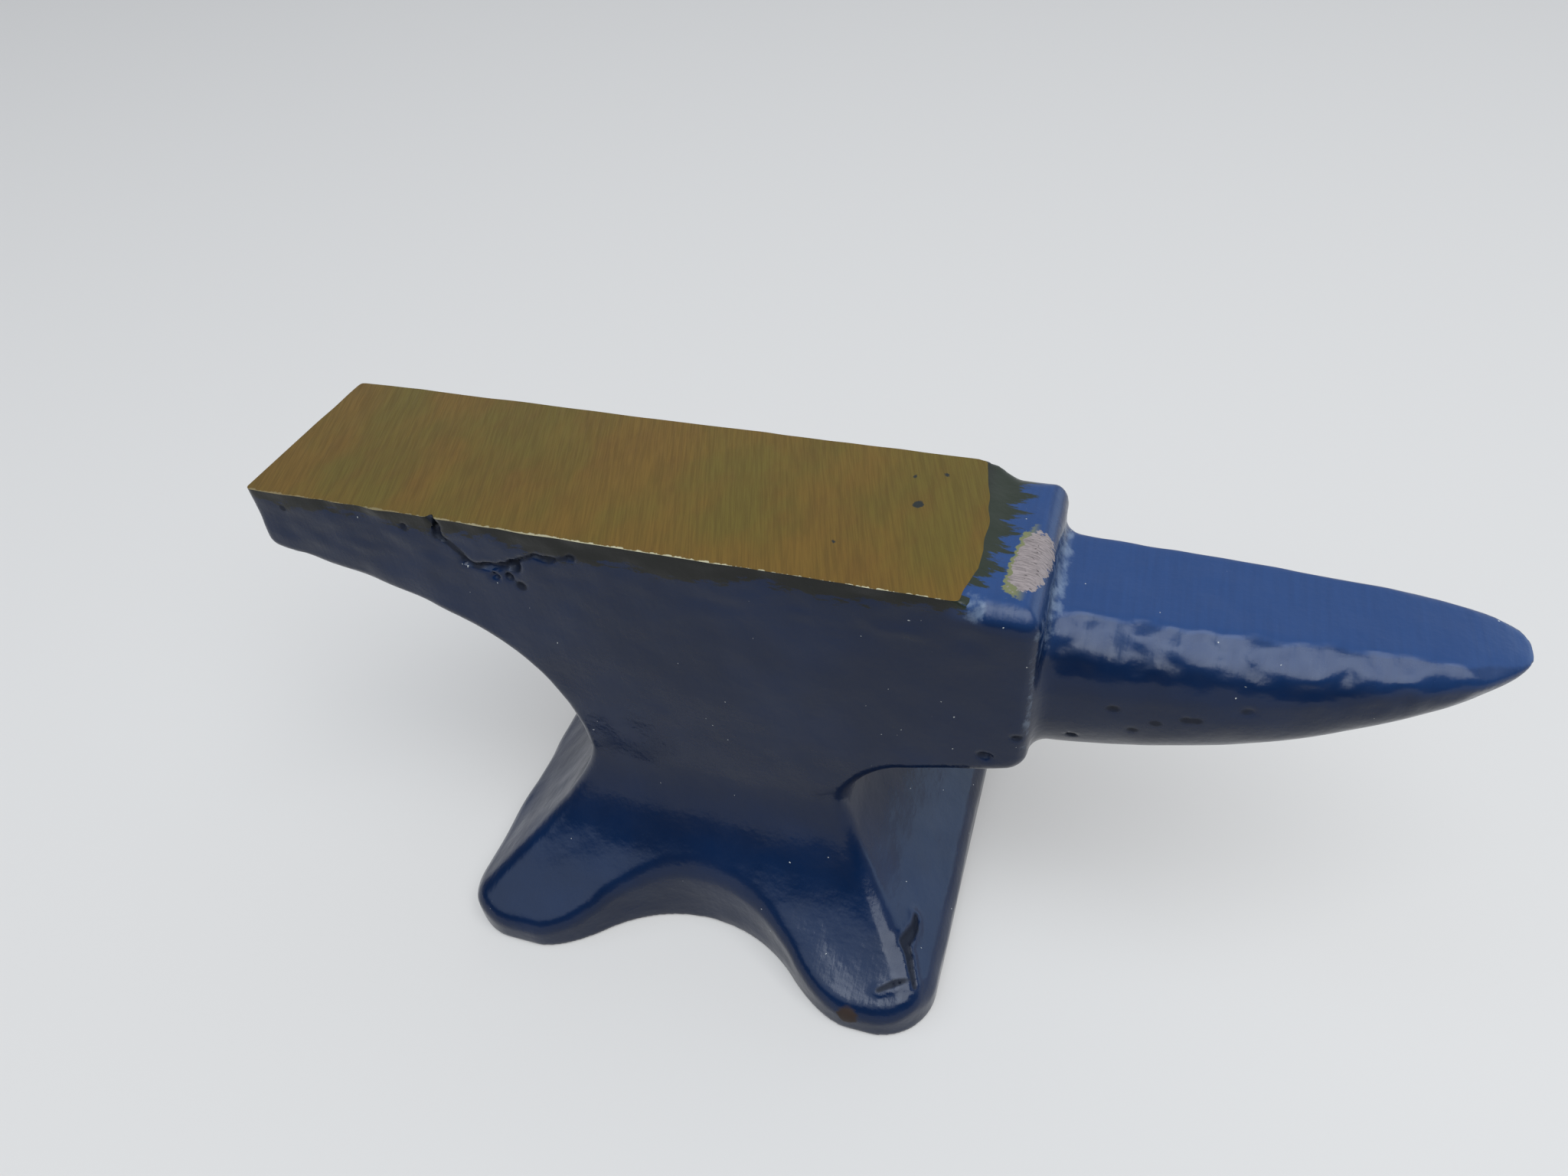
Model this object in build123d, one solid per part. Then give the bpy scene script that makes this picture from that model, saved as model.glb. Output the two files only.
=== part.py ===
from build123d import *
from math import asin, copysign, cos, pi, radians, sin, tan
import os

# Small cast-iron bench anvil with one horn. Units are millimetres. +Z is up, +X runs from the heel to the horn,
# and the origin is the centre of the base's sole. The upper casting is shaped whole and then parted on flat planes
# into the body, the horn with its table and the face plate, so that every seat fits the piece beside it.

# Heights and thicknesses
face_height = 52.0
waist_height = 18.6
waist_upright = 0.8
rim_height = 4.0
flare_knee_height = 14.8
heel_thickness = 7.3
shoulder_thickness = 20.6
plate_thickness = 3.0
table_drop = 0.6
step_height = 4.4

# Lengths along the anvil, from the centre of the base
heel_reach = 46.7
waist_heel_side = 13.2
waist_horn_side = 15.6
face_reach = 25.3
face_bevel_length = 2.0
shoulder_reach = 33.6
horn_length = 39.7

# Body
body_width = 20.8
heel_slope_deg = 17.0
shoulder_slope_deg = 16.5
heel_corner_radius = 1.8
shoulder_corner_radius = 2.5
long_edge_radius = 1.4
table_edge_radius = 1.9

# Base
base_length = 55.4
base_width = 49.3
foot_corner_radius = 7.0
arch_radius = 16.6
arch_depth = 8.6
arch_shift = 0.6
arch_mouth_radius = 5.0
rim_edge_radius = 1.2

# Horn: its section is flat on top and round below, and its nose is blunt and leans to the far side
horn_width = 16.9
horn_depth = 15.8
horn_root_radius = 1.0
horn_taper = 0.17
width_power = 3.1
width_fullness = 0.43
depth_power = 1.6
depth_fullness = 0.72
crest_share_root = 0.23
crest_share_nose = 0.10
flat_share = 0.04
nose_reach = 0.99
nose_lean = 1.5
nose_drop = 1.1
top_squareness = 4.5
belly_squareness = 2.8
horn_spans = 9
section_points = 24

# Worked out from the sizes above
half_body = body_width / 2
half_base_length = base_length / 2
half_base_width = base_width / 2
plate_reach = face_reach + face_bevel_length
table_height = face_height - table_drop
seat_height = face_height - plate_thickness
horn_top = table_height - step_height
heel_underside = face_height - heel_thickness
shoulder_underside = face_height - shoulder_thickness
touch = 0.01


def outlined(corners):
    """A flat face from corners given as (across, up, radius), with radius 0 for a corner that stays sharp."""
    face = make_face(Polyline(*[(across, up) for across, up, _ in corners], close=True))
    for across, up, radius in corners:
        if radius:
            vertex = face.vertices().sort_by_distance((across, up, 0))[0]
            face = fillet(vertex, radius)
    return face


def rounding(rise, slope_deg):
    """The radius that turns a slope upright within the rise between their corner and the waist's upright."""
    return rise / tan(radians(90 - slope_deg) / 2)


def flare_profile(low, high, low_foot, high_foot):
    """Waist flaring to the rim, seen from one side: waist edges at low and high, feet at low_foot and high_foot."""
    low_flare = Bezier((low_foot, rim_height), (low, flare_knee_height), (low, waist_height))
    high_flare = Bezier((high, waist_height), (high, flare_knee_height), (high_foot, rim_height))
    top = Line((low, waist_height), (high, waist_height))
    foot = Polyline((high_foot, rim_height), (high_foot, 0), (low_foot, 0), (low_foot, rim_height))
    return make_face([low_flare, top, high_flare, foot])


def base_plan():
    """Outline of the sole: a rounded rectangle with an arch taken out of each long side."""
    plan = RectangleRounded(base_length, base_width, foot_corner_radius)
    arch_centre = half_base_width - arch_depth + arch_radius
    for side in (-1, 1):
        plan = plan - Pos(arch_shift, side * arch_centre) * Circle(arch_radius)
    mouths = [vertex for vertex in plan.vertices() if abs(vertex.X - arch_shift) < arch_radius]
    return fillet(mouths, arch_mouth_radius)


def make_base():
    """Four-footed base: two flares crossed, their ridges rounded, then trimmed to the outline of the sole."""
    from_side = flare_profile(-waist_heel_side, waist_horn_side, -half_base_length, half_base_length)
    from_end = flare_profile(-half_body, half_body, -half_base_width, half_base_width)
    crossed = extrude(Plane.XZ * from_side, half_base_width, both=True)
    crossed = crossed & extrude(Plane.YZ * from_end, half_base_length, both=True)
    ridges = [edge for edge in crossed.edges() if abs((edge @ 0).Z - (edge @ 1).Z) > rim_height + touch]
    base = fillet(ridges, long_edge_radius) & extrude(base_plan(), waist_height)
    rim = [edge for wall in walls_of(base) for edge in wall.edges() if min((edge @ 0).Z, (edge @ 1).Z) > touch]
    return fillet(rim, rim_edge_radius)


def walls_of(base):
    """The upright faces that stand on the sole's outline."""
    return [
        face
        for face in base.faces()
        if face.bounding_box().min.Z < touch and face.bounding_box().max.Z > rim_height / 2
    ]


def make_block():
    """Heel, waist and shoulder in one mass with sharp edges, before the horn is joined to it."""
    heel_knee = heel_underside - tan(radians(heel_slope_deg)) * (heel_reach - waist_heel_side)
    shoulder_knee = shoulder_underside - tan(radians(shoulder_slope_deg)) * (shoulder_reach - waist_horn_side)
    upright_end = waist_height + waist_upright
    profile = outlined(
        [
            (-heel_reach, face_height, 0),
            (face_reach, face_height, 0),
            (plate_reach, table_height, 0),
            (shoulder_reach, table_height, 0),
            (shoulder_reach, shoulder_underside, shoulder_corner_radius),
            (waist_horn_side, shoulder_knee, rounding(shoulder_knee - upright_end, shoulder_slope_deg)),
            (waist_horn_side, waist_height, 0),
            (-waist_heel_side, waist_height, 0),
            (-waist_heel_side, heel_knee, rounding(heel_knee - upright_end, heel_slope_deg)),
            (-heel_reach, heel_underside, heel_corner_radius),
        ]
    )
    return extrude(Plane.XZ * profile, half_body, both=True)


def horn_section(share):
    """One section of the horn, at a share of its length from 0 at the shoulder to 1 at the nose."""
    reach = share * nose_reach
    half_width = horn_width / 2 * (1 - horn_taper * reach) * (1 - reach**width_power) ** width_fullness
    depth = horn_depth * (1 - reach**depth_power) ** depth_fullness
    crest = depth * (crest_share_root + (crest_share_nose - crest_share_root) * reach**3)
    belly = depth - crest
    middle = horn_top - nose_drop * reach**8 - crest * (1 - flat_share)
    start = asin((1 - flat_share) ** (top_squareness / 2))
    points = []
    for step in range(section_points + 1):
        turn = start - (pi + 2 * start) * step / section_points
        rising = sin(turn) > 0
        power = 2 / (top_squareness if rising else belly_squareness)
        across = copysign(half_width * abs(cos(turn)) ** power, cos(turn))
        up = copysign((crest if rising else belly) * abs(sin(turn)) ** power, sin(turn))
        points.append((nose_lean * reach**4 + across, middle + up))
    place = Plane((shoulder_reach + horn_length * share, 0, 0), x_dir=(0, 1, 0), z_dir=(1, 0, 0))
    return place * make_face([Spline(*points), Line(points[-1], points[0])])


def make_horn():
    """The horn by itself, lofted through sections that crowd towards the nose and started inside the shoulder."""
    sections = [horn_section(sin(pi / 2 * span / horn_spans)) for span in range(horn_spans + 1)]
    buried = sections[0].moved(Location((-shoulder_corner_radius - touch, 0, 0)))
    return loft([buried] + sections)


def make_casting():
    """The block and the horn in one, with the horn's root and the long edges rounded."""
    casting = make_block() + make_horn()
    root = [
        edge
        for edge in casting.edges()
        if edge.geom_type == GeomType.BSPLINE
        and abs(edge.center().Y) < half_body - touch
        and shoulder_reach - shoulder_corner_radius < edge.center().X < shoulder_reach + touch
    ]
    casting = fillet(root, horn_root_radius)
    long_edges = [
        edge
        for edge in casting.edges()
        if abs(abs(edge.center().Y) - half_body) < touch
        and waist_height + touch < edge.center().Z < table_height - touch
    ]
    return fillet(long_edges, long_edge_radius)


def make_horn_piece(casting):
    """The casting beyond the end of the face: shoulder, table with its rounded edges, and horn."""
    piece = split(casting, bisect_by=Plane.YZ.offset(plate_reach), keep=Keep.TOP)
    table_edges = [
        edge
        for edge in piece.edges()
        if abs(edge.center().Z - table_height) < touch
        and edge.center().X > plate_reach + touch
    ]
    return fillet(table_edges, table_edge_radius)


os.makedirs("parts", exist_ok=True)
casting = make_casting()
horn_piece = make_horn_piece(casting)
rest = split(casting, bisect_by=Plane.YZ.offset(plate_reach), keep=Keep.BOTTOM)
pieces = {
    "base": make_base(),
    "body": split(rest, bisect_by=Plane.XY.offset(seat_height), keep=Keep.BOTTOM),
    "horn": horn_piece,
    "face_plate": split(rest, bisect_by=Plane.XY.offset(seat_height), keep=Keep.TOP),
}
for name, piece in pieces.items():
    export_step(piece, f"parts/{name}.step")
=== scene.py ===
"""Small cast-iron bench anvil: blue enamel over a rough casting, with a bare ground face and one horn."""
import logging
from dataclasses import dataclass
from enum import Enum
from math import cos, pi, radians, sin, tan

import bmesh
import bpy
import numpy as np
from mathutils import Matrix, Vector
from mathutils.bvhtree import BVHTree


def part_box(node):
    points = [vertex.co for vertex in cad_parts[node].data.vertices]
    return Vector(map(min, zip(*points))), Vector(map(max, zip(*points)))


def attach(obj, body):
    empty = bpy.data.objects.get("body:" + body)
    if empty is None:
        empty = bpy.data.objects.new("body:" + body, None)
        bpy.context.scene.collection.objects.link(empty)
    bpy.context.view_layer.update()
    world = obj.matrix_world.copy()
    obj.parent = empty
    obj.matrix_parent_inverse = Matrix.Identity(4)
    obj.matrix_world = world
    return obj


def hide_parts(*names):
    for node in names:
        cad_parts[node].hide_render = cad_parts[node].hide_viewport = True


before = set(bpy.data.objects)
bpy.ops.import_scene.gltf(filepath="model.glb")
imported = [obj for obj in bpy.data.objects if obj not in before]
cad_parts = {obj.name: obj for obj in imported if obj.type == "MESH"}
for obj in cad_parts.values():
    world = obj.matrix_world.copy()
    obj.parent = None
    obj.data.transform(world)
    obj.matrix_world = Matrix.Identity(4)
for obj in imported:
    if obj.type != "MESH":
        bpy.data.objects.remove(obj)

MM = 0.001  # forms are worked out in millimetres and the meshes are written in metres
log = logging.getLogger("anvil")

Array = np.ndarray
Colour = tuple[float, float, float]
Triple = tuple[float, float, float]  # a place, a direction or a size along each axis
OUTSIDE = 9.0  # distance that counts as far outside a mark


class Piece(Enum):
    """The separate pieces of the anvil, by the name of the CAD node that each one stands for."""

    BASE = "base"
    BODY = "body"
    HORN = "horn"
    FACE = "face_plate"


class Slot(Enum):
    """Material slots of the record."""

    ENAMEL = "enamel"
    GROUND = "ground_face"


def node_box(piece: Piece) -> tuple[Array, Array]:
    """Lowest and highest corner of a piece's CAD node, in millimetres."""
    low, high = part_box(piece.value)
    return np.array(low) / MM, np.array(high) / MM


def ease(value: Array, start: float, end: float) -> Array:
    """Rise smoothly from 0 at start to 1 at end.

    Args:
        value: What is eased.
        start: Where the rise begins.
        end: Where it is complete, which may be lower than start.

    Returns:
        The eased share, between 0 and 1.
    """
    share = np.clip((value - start) / (end - start), 0.0, 1.0)
    return share * share * (3.0 - 2.0 * share)


def meet(first: Array, second: Array, radius: float | Array) -> Array:
    """Keep what lies inside both forms, with their shared edge rounded.

    Args:
        first: Distance to the surface of one form, negative inside.
        second: Distance to the surface of the other.
        radius: Radius of the rounded edge.

    Returns:
        Distance to the surface of the shared form.
    """
    corner = np.hypot(np.maximum(first + radius, 0.0), np.maximum(second + radius, 0.0))
    return np.minimum(-radius, np.maximum(first, second)) + corner


def join(first: Array, second: Array, radius: float | Array) -> Array:
    """Unite two forms, with a cast fillet along the line where they meet."""
    return -meet(-first, -second, radius)


def carve(form: Array, tool: Array, radius: float | Array) -> Array:
    """Take one form out of another, with the new edge rounded."""
    return meet(form, -tool, radius)


def rounded(corners: list[Triple], steps: int = 16) -> Array:
    """Closed outline with its corners turned to arcs.

    Args:
        corners: Corners as (across, up, radius), with radius 0 for a sharp one.
        steps: Spans in each arc.

    Returns:
        The outline's points, one row each.
    """
    points: list[Array] = []
    places = [np.array(corner[:2]) for corner in corners]
    for index, (_, _, radius) in enumerate(corners):
        here = places[index]
        back = places[index - 1] - here
        on = places[(index + 1) % len(places)] - here
        if not radius:
            points.append(here)
            continue
        back /= np.linalg.norm(back)
        on /= np.linalg.norm(on)
        half = np.arccos(np.clip(back @ on, -1.0, 1.0)) / 2
        middle = (back + on) / np.linalg.norm(back + on)
        centre = here + middle * radius / sin(half)
        start = here + back * radius / tan(half) - centre
        end = here + on * radius / tan(half) - centre
        turn = np.arctan2(start[0] * end[1] - start[1] * end[0], start @ end)
        for step in np.linspace(0.0, turn, steps + 1):
            swing = np.array([[cos(step), -sin(step)], [sin(step), cos(step)]])
            points.append(centre + swing @ start)
    return np.array(points)


def outline_distance(outline: Array, across: Array, up: Array) -> Array:
    """Distance from points of a plane to a closed outline.

    Args:
        outline: The outline's points, one row each.
        across: First coordinate of the points that are measured.
        up: Their second coordinate.

    Returns:
        The distances, negative inside the outline.
    """
    across, up = np.broadcast_arrays(across, up)
    nearest = np.full(across.shape, np.inf)
    inside = np.zeros(across.shape, bool)
    for start, end in zip(outline, np.roll(outline, -1, axis=0)):
        run = end - start
        share = ((across - start[0]) * run[0] + (up - start[1]) * run[1]) / (run @ run)
        share = np.clip(share, 0.0, 1.0)
        gap = (across - start[0] - share * run[0]) ** 2 + (up - start[1] - share * run[1]) ** 2
        nearest = np.minimum(nearest, gap)
        if run[1]:
            crosses = (start[1] > up) != (end[1] > up)
            inside ^= crosses & (across < start[0] + run[0] * (up - start[1]) / run[1])
    return np.where(inside, -1.0, 1.0) * np.sqrt(nearest)


def beside(start: Array, end: Array, across: Array, up: Array) -> tuple[Array, Array]:
    """Find the nearest place on a straight run of a plane to each of some points.

    Args:
        start: Where the run starts.
        end: Where it ends.
        across: First coordinate of the points.
        up: Their second coordinate.

    Returns:
        The share of the run at which the nearest place lies, and the distance to it.
    """
    run = (end - start)[:2]
    share = ((across - start[0]) * run[0] + (up - start[1]) * run[1]) / (run @ run)
    share = np.clip(share, 0.0, 1.0)
    return share, np.hypot(across - start[0] - share * run[0], up - start[1] - share * run[1])


@dataclass
class Lattice:
    """Regular lattice of points on which the casting's form is worked out."""

    low: Array
    high: Array
    pitch: float

    def __post_init__(self) -> None:
        """Lay out the three axes, as columns that combine into the whole lattice."""
        self.count = np.ceil((self.high - self.low) / self.pitch).astype(int) + 1
        self.axes = [self.low[i] + self.pitch * np.arange(self.count[i]) for i in range(3)]
        self.x = self.axes[0][:, None, None]
        self.y = self.axes[1][None, :, None]
        self.z = self.axes[2][None, None, :]

    def rumple(self, spacing: Triple, seed: int) -> Array:
        """Soft random relief, about 1 high and low, the same on every run.

        Args:
            spacing: Distance between the relief's bumps along each axis.
            seed: Which relief of that kind.

        Returns:
            The relief's height at every lattice point.
        """
        shape = [int((self.high[i] - self.low[i]) / spacing[i]) + 5 for i in range(3)]
        relief = np.random.default_rng(seed).normal(0.0, 1.6, shape)
        for i in range(3):
            at = (self.axes[i] - self.low[i]) / spacing[i]
            cell = np.floor(at).astype(int)
            part = at - cell
            weights = np.zeros((len(at), shape[i]))
            blend = (
                (1 - part) ** 3 / 6,
                (3 * part**3 - 6 * part**2 + 4) / 6,
                (-3 * part**3 + 3 * part**2 + 3 * part + 1) / 6,
                part**3 / 6,
            )
            for offset, weight in enumerate(blend):
                weights[np.arange(len(at)), cell + offset] = weight
            relief = np.moveaxis(np.tensordot(weights, relief, axes=(1, i)), 0, i)
        return relief.astype(np.float32)

    def skin(self, form: Array) -> tuple[Array, Array]:
        """Closed skin of four-sided faces over the places where a form's distance is 0.

        Args:
            form: Distance to the surface at every lattice point, negative inside.

        Returns:
            The skin's points in millimetres, and its faces as rows of four point numbers.
        """
        inside = form < 0
        owners: list[Array] = []
        places: list[Array] = []
        for axis in range(3):
            one, two = (axis + 1) % 3, (axis + 2) % 3
            near = [slice(None)] * 3
            far = [slice(None)] * 3
            near[axis], far[axis] = slice(None, -1), slice(1, None)
            at = np.argwhere(inside[tuple(near)] != inside[tuple(far)])
            beyond = at.copy()
            beyond[:, axis] += 1
            here, there = form[tuple(at.T)], form[tuple(beyond.T)]
            place = at.astype(float)
            place[:, axis] += here / (here - there)
            ring = []
            for step_one, step_two in ((-1, -1), (0, -1), (0, 0), (-1, 0)):
                cell = at.copy()
                cell[:, one] += step_one
                cell[:, two] += step_two
                ring.append(np.ravel_multi_index(cell.T, form.shape))
            ring = np.stack(ring, axis=1)
            falling = here > 0
            ring[falling] = ring[falling][:, ::-1]
            owners.append(ring)
            places.append(place)
        rings = np.concatenate(owners)
        spots = np.repeat(np.concatenate(places), 4, axis=0)
        cells, faces = np.unique(rings, return_inverse=True)
        faces = faces.reshape(-1)
        total = np.bincount(faces)
        points = np.stack([np.bincount(faces, spots[:, i]) / total for i in range(3)], axis=1)
        return self.low + points * self.pitch, faces.reshape(-1, 4)


@dataclass
class Base:
    """Four-footed base: two flares crossed and trimmed to an arched outline."""

    rim_height: float = 3.8
    flare_top: float = 21.5
    end_knee: float = 14.0
    side_knee: float = 11.2
    waist_heel: float = 14.4
    waist_horn: float = 15.6
    waist_side: float = 10.4
    foot_corner: float = 6.3
    heel_foot: float = 0.6
    arch_radius: float = 16.6
    arch_depth: float = 8.6
    arch_shift: float = 0.3
    arch_mouth: float = 4.0
    ridge_radius: float = 1.3
    rim_radius: float = 1.3
    sole_radius: float = 0.5
    relief_room: float = 0.12

    def __post_init__(self) -> None:
        """Take the base's extent from its CAD node, with room left for the rough skin."""
        low, high = node_box(Piece.BASE)
        self.half_length, self.half_width, self.top = high
        self.half_width -= self.relief_room

    def flare(self, low: float, high: float, foot: float, bend: float, steps: int = 28) -> Array:
        """Outline of the flare seen from one side.

        Args:
            low: Where the waist's first side stands.
            high: Where its other side stands.
            foot: How far the feet reach.
            bend: Height of the knees between waist and feet.
            steps: Points along each side.

        Returns:
            The outline's points, one row each.
        """
        share = np.linspace(0.0, 1.0, steps)[:, None]
        edge = [
            (1 - share) ** 2 * np.array(end)
            + 2 * share * (1 - share) * np.array(knee)
            + share**2 * np.array(start)
            for end, knee, start in (
                ((-foot, self.rim_height), (low, bend), (low, self.flare_top)),
                ((high, self.flare_top), (high, bend), (foot, self.rim_height)),
            )
        ]
        lift = np.array([[low, self.flare_top + 6.0], [high, self.flare_top + 6.0]])
        foot_line = np.array([[foot + 6.0, self.rim_height - 3.0], [foot + 6.0, -6.0]])
        return np.concatenate([edge[0], lift, edge[1], foot_line, foot_line[::-1] * [-1, 1]])

    def plan(self, lattice: Lattice) -> Array:
        """Distance to the upright wall round the sole."""
        corner = self.foot_corner
        out_x = np.abs(lattice.x + self.heel_foot / 2) - (self.half_length + self.heel_foot / 2 - corner)
        out_y = np.abs(lattice.y) - (self.half_width - corner)
        wall = np.hypot(np.maximum(out_x, 0), np.maximum(out_y, 0)) + np.minimum(np.maximum(out_x, out_y), 0)
        wall = wall - corner
        centre = self.half_width - self.arch_depth + self.arch_radius
        arch = np.hypot(lattice.x - self.arch_shift, np.abs(lattice.y) - centre) - self.arch_radius
        return carve(wall, arch, self.arch_mouth)

    def form(self, lattice: Lattice) -> Array:
        """Distance to the base's surface at every lattice point."""
        side = self.flare(-self.waist_heel, self.waist_horn, self.half_length, self.end_knee)
        end = self.flare(-self.waist_side, self.waist_side, self.half_width, self.side_knee)
        from_side = outline_distance(side, lattice.x, lattice.z)
        from_end = outline_distance(end, lattice.y, lattice.z)
        crossed = meet(from_side, from_end, self.ridge_radius)
        trimmed = meet(crossed, self.plan(lattice), self.rim_radius)
        topped = np.maximum(trimmed, lattice.z - self.flare_top - 1.0)
        return meet(topped, -lattice.z, self.sole_radius)


@dataclass
class Block:
    """Heel, waist and shoulder in one mass, with the table beyond the end of the ground face."""

    base: Base
    waist_upright: float = 0.8
    heel_thickness: float = 7.3
    heel_slope: float = 17.0
    heel_corner: float = 1.4
    shoulder_reach: float = 33.6
    shoulder_thickness: float = 20.8
    shoulder_slope: float = 16.5
    shoulder_corner: float = 2.5
    face_reach: float = 26.75
    face_skew: float = 0.13
    face_bevel: float = 0.3
    face_corner: float = 5.0
    table_drop: float = 0.6
    long_edge: float = 1.4
    heel_edge: float = 0.6
    face_edge: float = 0.02
    table_edge: float = 2.6

    def __post_init__(self) -> None:
        """Take the block's extent from the CAD nodes of the body and the face."""
        low, high = node_box(Piece.BODY)
        self.heel_reach = -low[0]
        self.half_width = high[1]
        self.seat = high[2]
        self.plate_end = high[0]
        self.face_height = node_box(Piece.FACE)[1][2]

    @property
    def table_height(self) -> float:
        """Height of the table, a little under the ground face."""
        return self.face_height - self.table_drop

    def profile(self) -> Array:
        """Outline of the block seen from the side, carried up past the ground face."""
        above = self.face_height + 4.0
        below = self.base.top - 6.0
        under_heel = self.face_height - self.heel_thickness
        under_shoulder = self.face_height - self.shoulder_thickness
        bend = self.base.top + self.waist_upright
        corners = [
            (-self.heel_reach, above, 0.0),
            (self.shoulder_reach, above, 0.0),
            (self.shoulder_reach, under_shoulder, self.shoulder_corner),
        ]
        for waist, reach, under, slope in (
            (self.base.waist_horn, self.shoulder_reach, under_shoulder, self.shoulder_slope),
            (-self.base.waist_heel, -self.heel_reach, under_heel, self.heel_slope),
        ):
            knee = under - tan(radians(slope)) * abs(reach - waist)
            turn = (knee - bend) / tan(radians(90.0 - slope) / 2)
            ends = [(waist, knee, turn), (waist, below, 0.0)]
            corners += ends if waist > 0 else ends[::-1]
        corners.append((-self.heel_reach, under_heel, self.heel_corner))
        return rounded(corners)

    def crown(self, lattice: Lattice) -> Array:
        """Height of the block's top: past the ground face's end it slopes down to the table."""
        slope = self.face_height + self.face_bevel * (self.face_end(lattice.y) - lattice.x)
        return np.maximum(slope, self.table_height)

    def face_end(self, y: Array) -> Array:
        """How far the bare face reaches: its end lies a little askew, with the near corner ground away."""
        corner = self.half_width - self.face_corner
        skewed = self.face_reach - self.face_skew * y + 0.05 * np.sin(1.7 * y)
        return np.minimum(np.minimum(skewed, self.plate_end - 0.05), self.plate_end + 0.22 * (y + corner))

    def form(self, lattice: Lattice) -> Array:
        """Distance to the block's surface at every lattice point."""
        profile = outline_distance(self.profile(), lattice.x, lattice.z)
        heel_end = ease(lattice.x, -self.heel_reach + 8.0, -self.heel_reach + 2.0)
        edge = self.long_edge + (self.heel_edge - self.long_edge) * heel_end
        sides = meet(profile, np.abs(lattice.y) - self.half_width, edge)
        past_face = ease(lattice.x, self.face_reach - 0.8, self.face_reach + 2.4)
        return meet(sides, lattice.z - self.crown(lattice), self.face_edge + self.table_edge * past_face)


@dataclass
class Horn:
    """Horn with a flat ground top and a round belly, leaning a little to the far side at its nose."""

    block: Block
    half_width: float = 8.46
    taper: float = 0.172
    width_power: float = 3.088
    width_fullness: float = 0.428
    depth: float = 17.745
    depth_power: float = 1.581
    depth_fullness: float = 0.716
    crest_root: float = 0.427
    crest_nose: float = 0.32
    near_squareness: float = 2.0
    far_squareness: float = 4.5
    belly_squareness: float = 2.7
    lean: float = 1.5
    top: float = 47.2
    top_fall: float = 1.14
    flat_share: float = 0.112
    flat_edge: float = 0.08
    root_fillet: float = 1.7
    edge_lumps: float = 0.10

    def __post_init__(self) -> None:
        """Take the nose's place from the CAD node."""
        self.root = self.block.shoulder_reach
        self.length = node_box(Piece.HORN)[1][0] - self.root - 0.05

    def flat(self, share: Array | float) -> Array | float:
        """Height of the ground flat along the horn."""
        return self.top - self.top_fall * share**8

    def half(self, share: Array | float) -> Array | float:
        """Half the horn's width along it."""
        narrowing = np.maximum(1.0 - share**self.width_power, 0.0) ** self.width_fullness
        return self.half_width * (1.0 - self.taper * share) * narrowing

    def ring(self, share: float, steps: int) -> Array:
        """One section of the horn.

        Args:
            share: Where along the horn, from 0 at its root to 1 at its nose.
            steps: Points round the section.

        Returns:
            The section's points, one row each.
        """
        half = self.half(share)
        depth = self.depth * max(1.0 - share**self.depth_power, 0.0) ** self.depth_fullness
        crest = depth * (self.crest_root + (self.crest_nose - self.crest_root) * share**3)
        centre = self.flat(share) - crest * (1.0 - self.flat_share)
        turn = np.linspace(0.0, 2 * pi, steps, endpoint=False)
        across, up = np.cos(turn), np.sin(turn)
        upper = np.where(across < 0, self.near_squareness, self.far_squareness)
        square = 2.0 / np.where(up > 0, upper, self.belly_squareness)
        y = self.lean * share**4 + half * np.sign(across) * np.abs(across) ** square
        reach = np.where(up > 0, crest, depth - crest)
        z = centre + reach * np.sign(up) * np.abs(up) ** square
        x = np.full(steps, self.root + self.length * share)
        return np.stack([x, y, z], axis=1)

    def tree(self, spans: int = 90, steps: int = 144) -> BVHTree:
        """Search tree of the horn's own closed skin, started inside the shoulder."""
        shares = np.sin(np.linspace(0.0, pi / 2, spans + 1)) ** 0.8
        rings = [self.ring(min(share, 0.9995), steps) for share in shares]
        rings.insert(0, rings[0] - [self.block.shoulder_corner + 2.0, 0.0, 0.0])
        faces = []
        for row in range(len(rings) - 1):
            for col in range(steps):
                on = (col + 1) % steps
                corners = (row * steps + col, row * steps + on)
                faces.append((*corners, corners[1] + steps, corners[0] + steps))
        faces.append(tuple(range(steps))[::-1])
        faces.append(tuple(range((len(rings) - 1) * steps, len(rings) * steps)))
        return BVHTree.FromPolygons(np.concatenate(rings).tolist(), faces)

    def form(self, lattice: Lattice) -> Array:
        """Distance to the horn's surface at every lattice point, worked out near the horn only."""
        far = 5.0
        tree = self.tree()
        result = np.full(lattice.count, far)
        low = np.array([self.root - far, -self.half_width - far, self.top - self.depth - far])
        high = np.array([np.inf, self.half_width + self.lean + far, self.top + far])
        spans = [range(*np.searchsorted(lattice.axes[i], (low[i], high[i]))) for i in range(3)]
        for i in spans[0]:
            for j in spans[1]:
                for k in spans[2]:
                    place = Vector((lattice.axes[0][i], lattice.axes[1][j], lattice.axes[2][k]))
                    spot, normal, _, gap = tree.find_nearest(place)
                    result[i, j, k] = gap if (place - spot).dot(normal) >= 0 else -gap
        lumps = 0.6 * lattice.rumple((2.6, 1.3, 1.1), 21)
        lumps = lumps + 1.4 * lattice.rumple((0.95, 0.9, 0.8), 22)
        share = np.clip((lattice.x - self.root) / self.length, 0.0, 1.0)
        half = self.half(share)
        aside = self.lean * share**4 - lattice.y
        near_edge = ease(aside, 0.20 * half, 0.45 * half) * ease(lattice.z, self.top - 5.5, self.top - 2.0)
        near_edge = near_edge * ease(share, 0.99, 0.85)
        result = result + self.edge_lumps * near_edge * lumps
        return meet(result, lattice.z - self.flat(share), self.flat_edge)


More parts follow.
